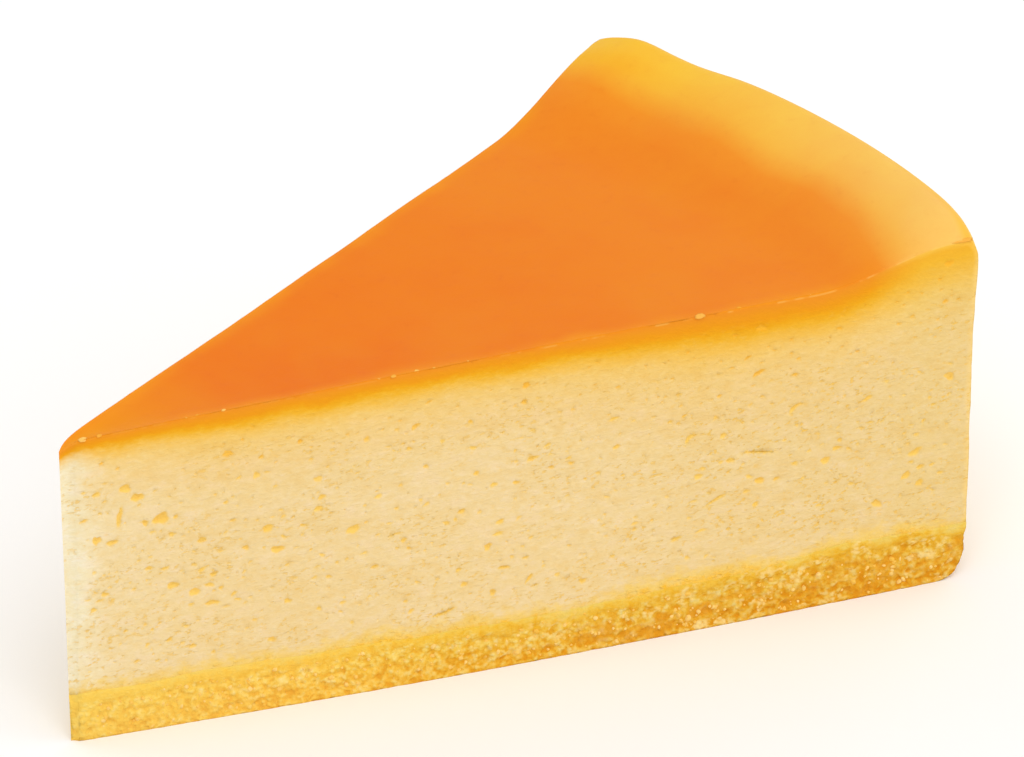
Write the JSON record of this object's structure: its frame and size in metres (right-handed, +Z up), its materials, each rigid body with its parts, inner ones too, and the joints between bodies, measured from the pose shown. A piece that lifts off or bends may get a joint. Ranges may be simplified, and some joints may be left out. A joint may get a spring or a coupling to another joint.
{
  "type": "baked cheesecake slice",
  "caption": "Narrow wedge of baked cheesecake with a browned top, a raised rim and a crumb base, standing on its flat underside.",
  "frame": {"origin": "under the middle of the slice, at the level it stands on", "axes": "+X from the tip to the rim along the slice's centre line, +Z up"},
  "size_m": [0.1048, 0.0642, 0.0442],
  "materials": {
    "baked_custard": "soft baked custard, pale cream at the cuts, satin orange-brown skin on top",
    "crumb_base": "rough golden crumb, fully matt"
  },
  "bodies": {
    "root": {"custard": "baked_custard", "crumb_base": "crumb_base"}
  },
  "joints": []
}
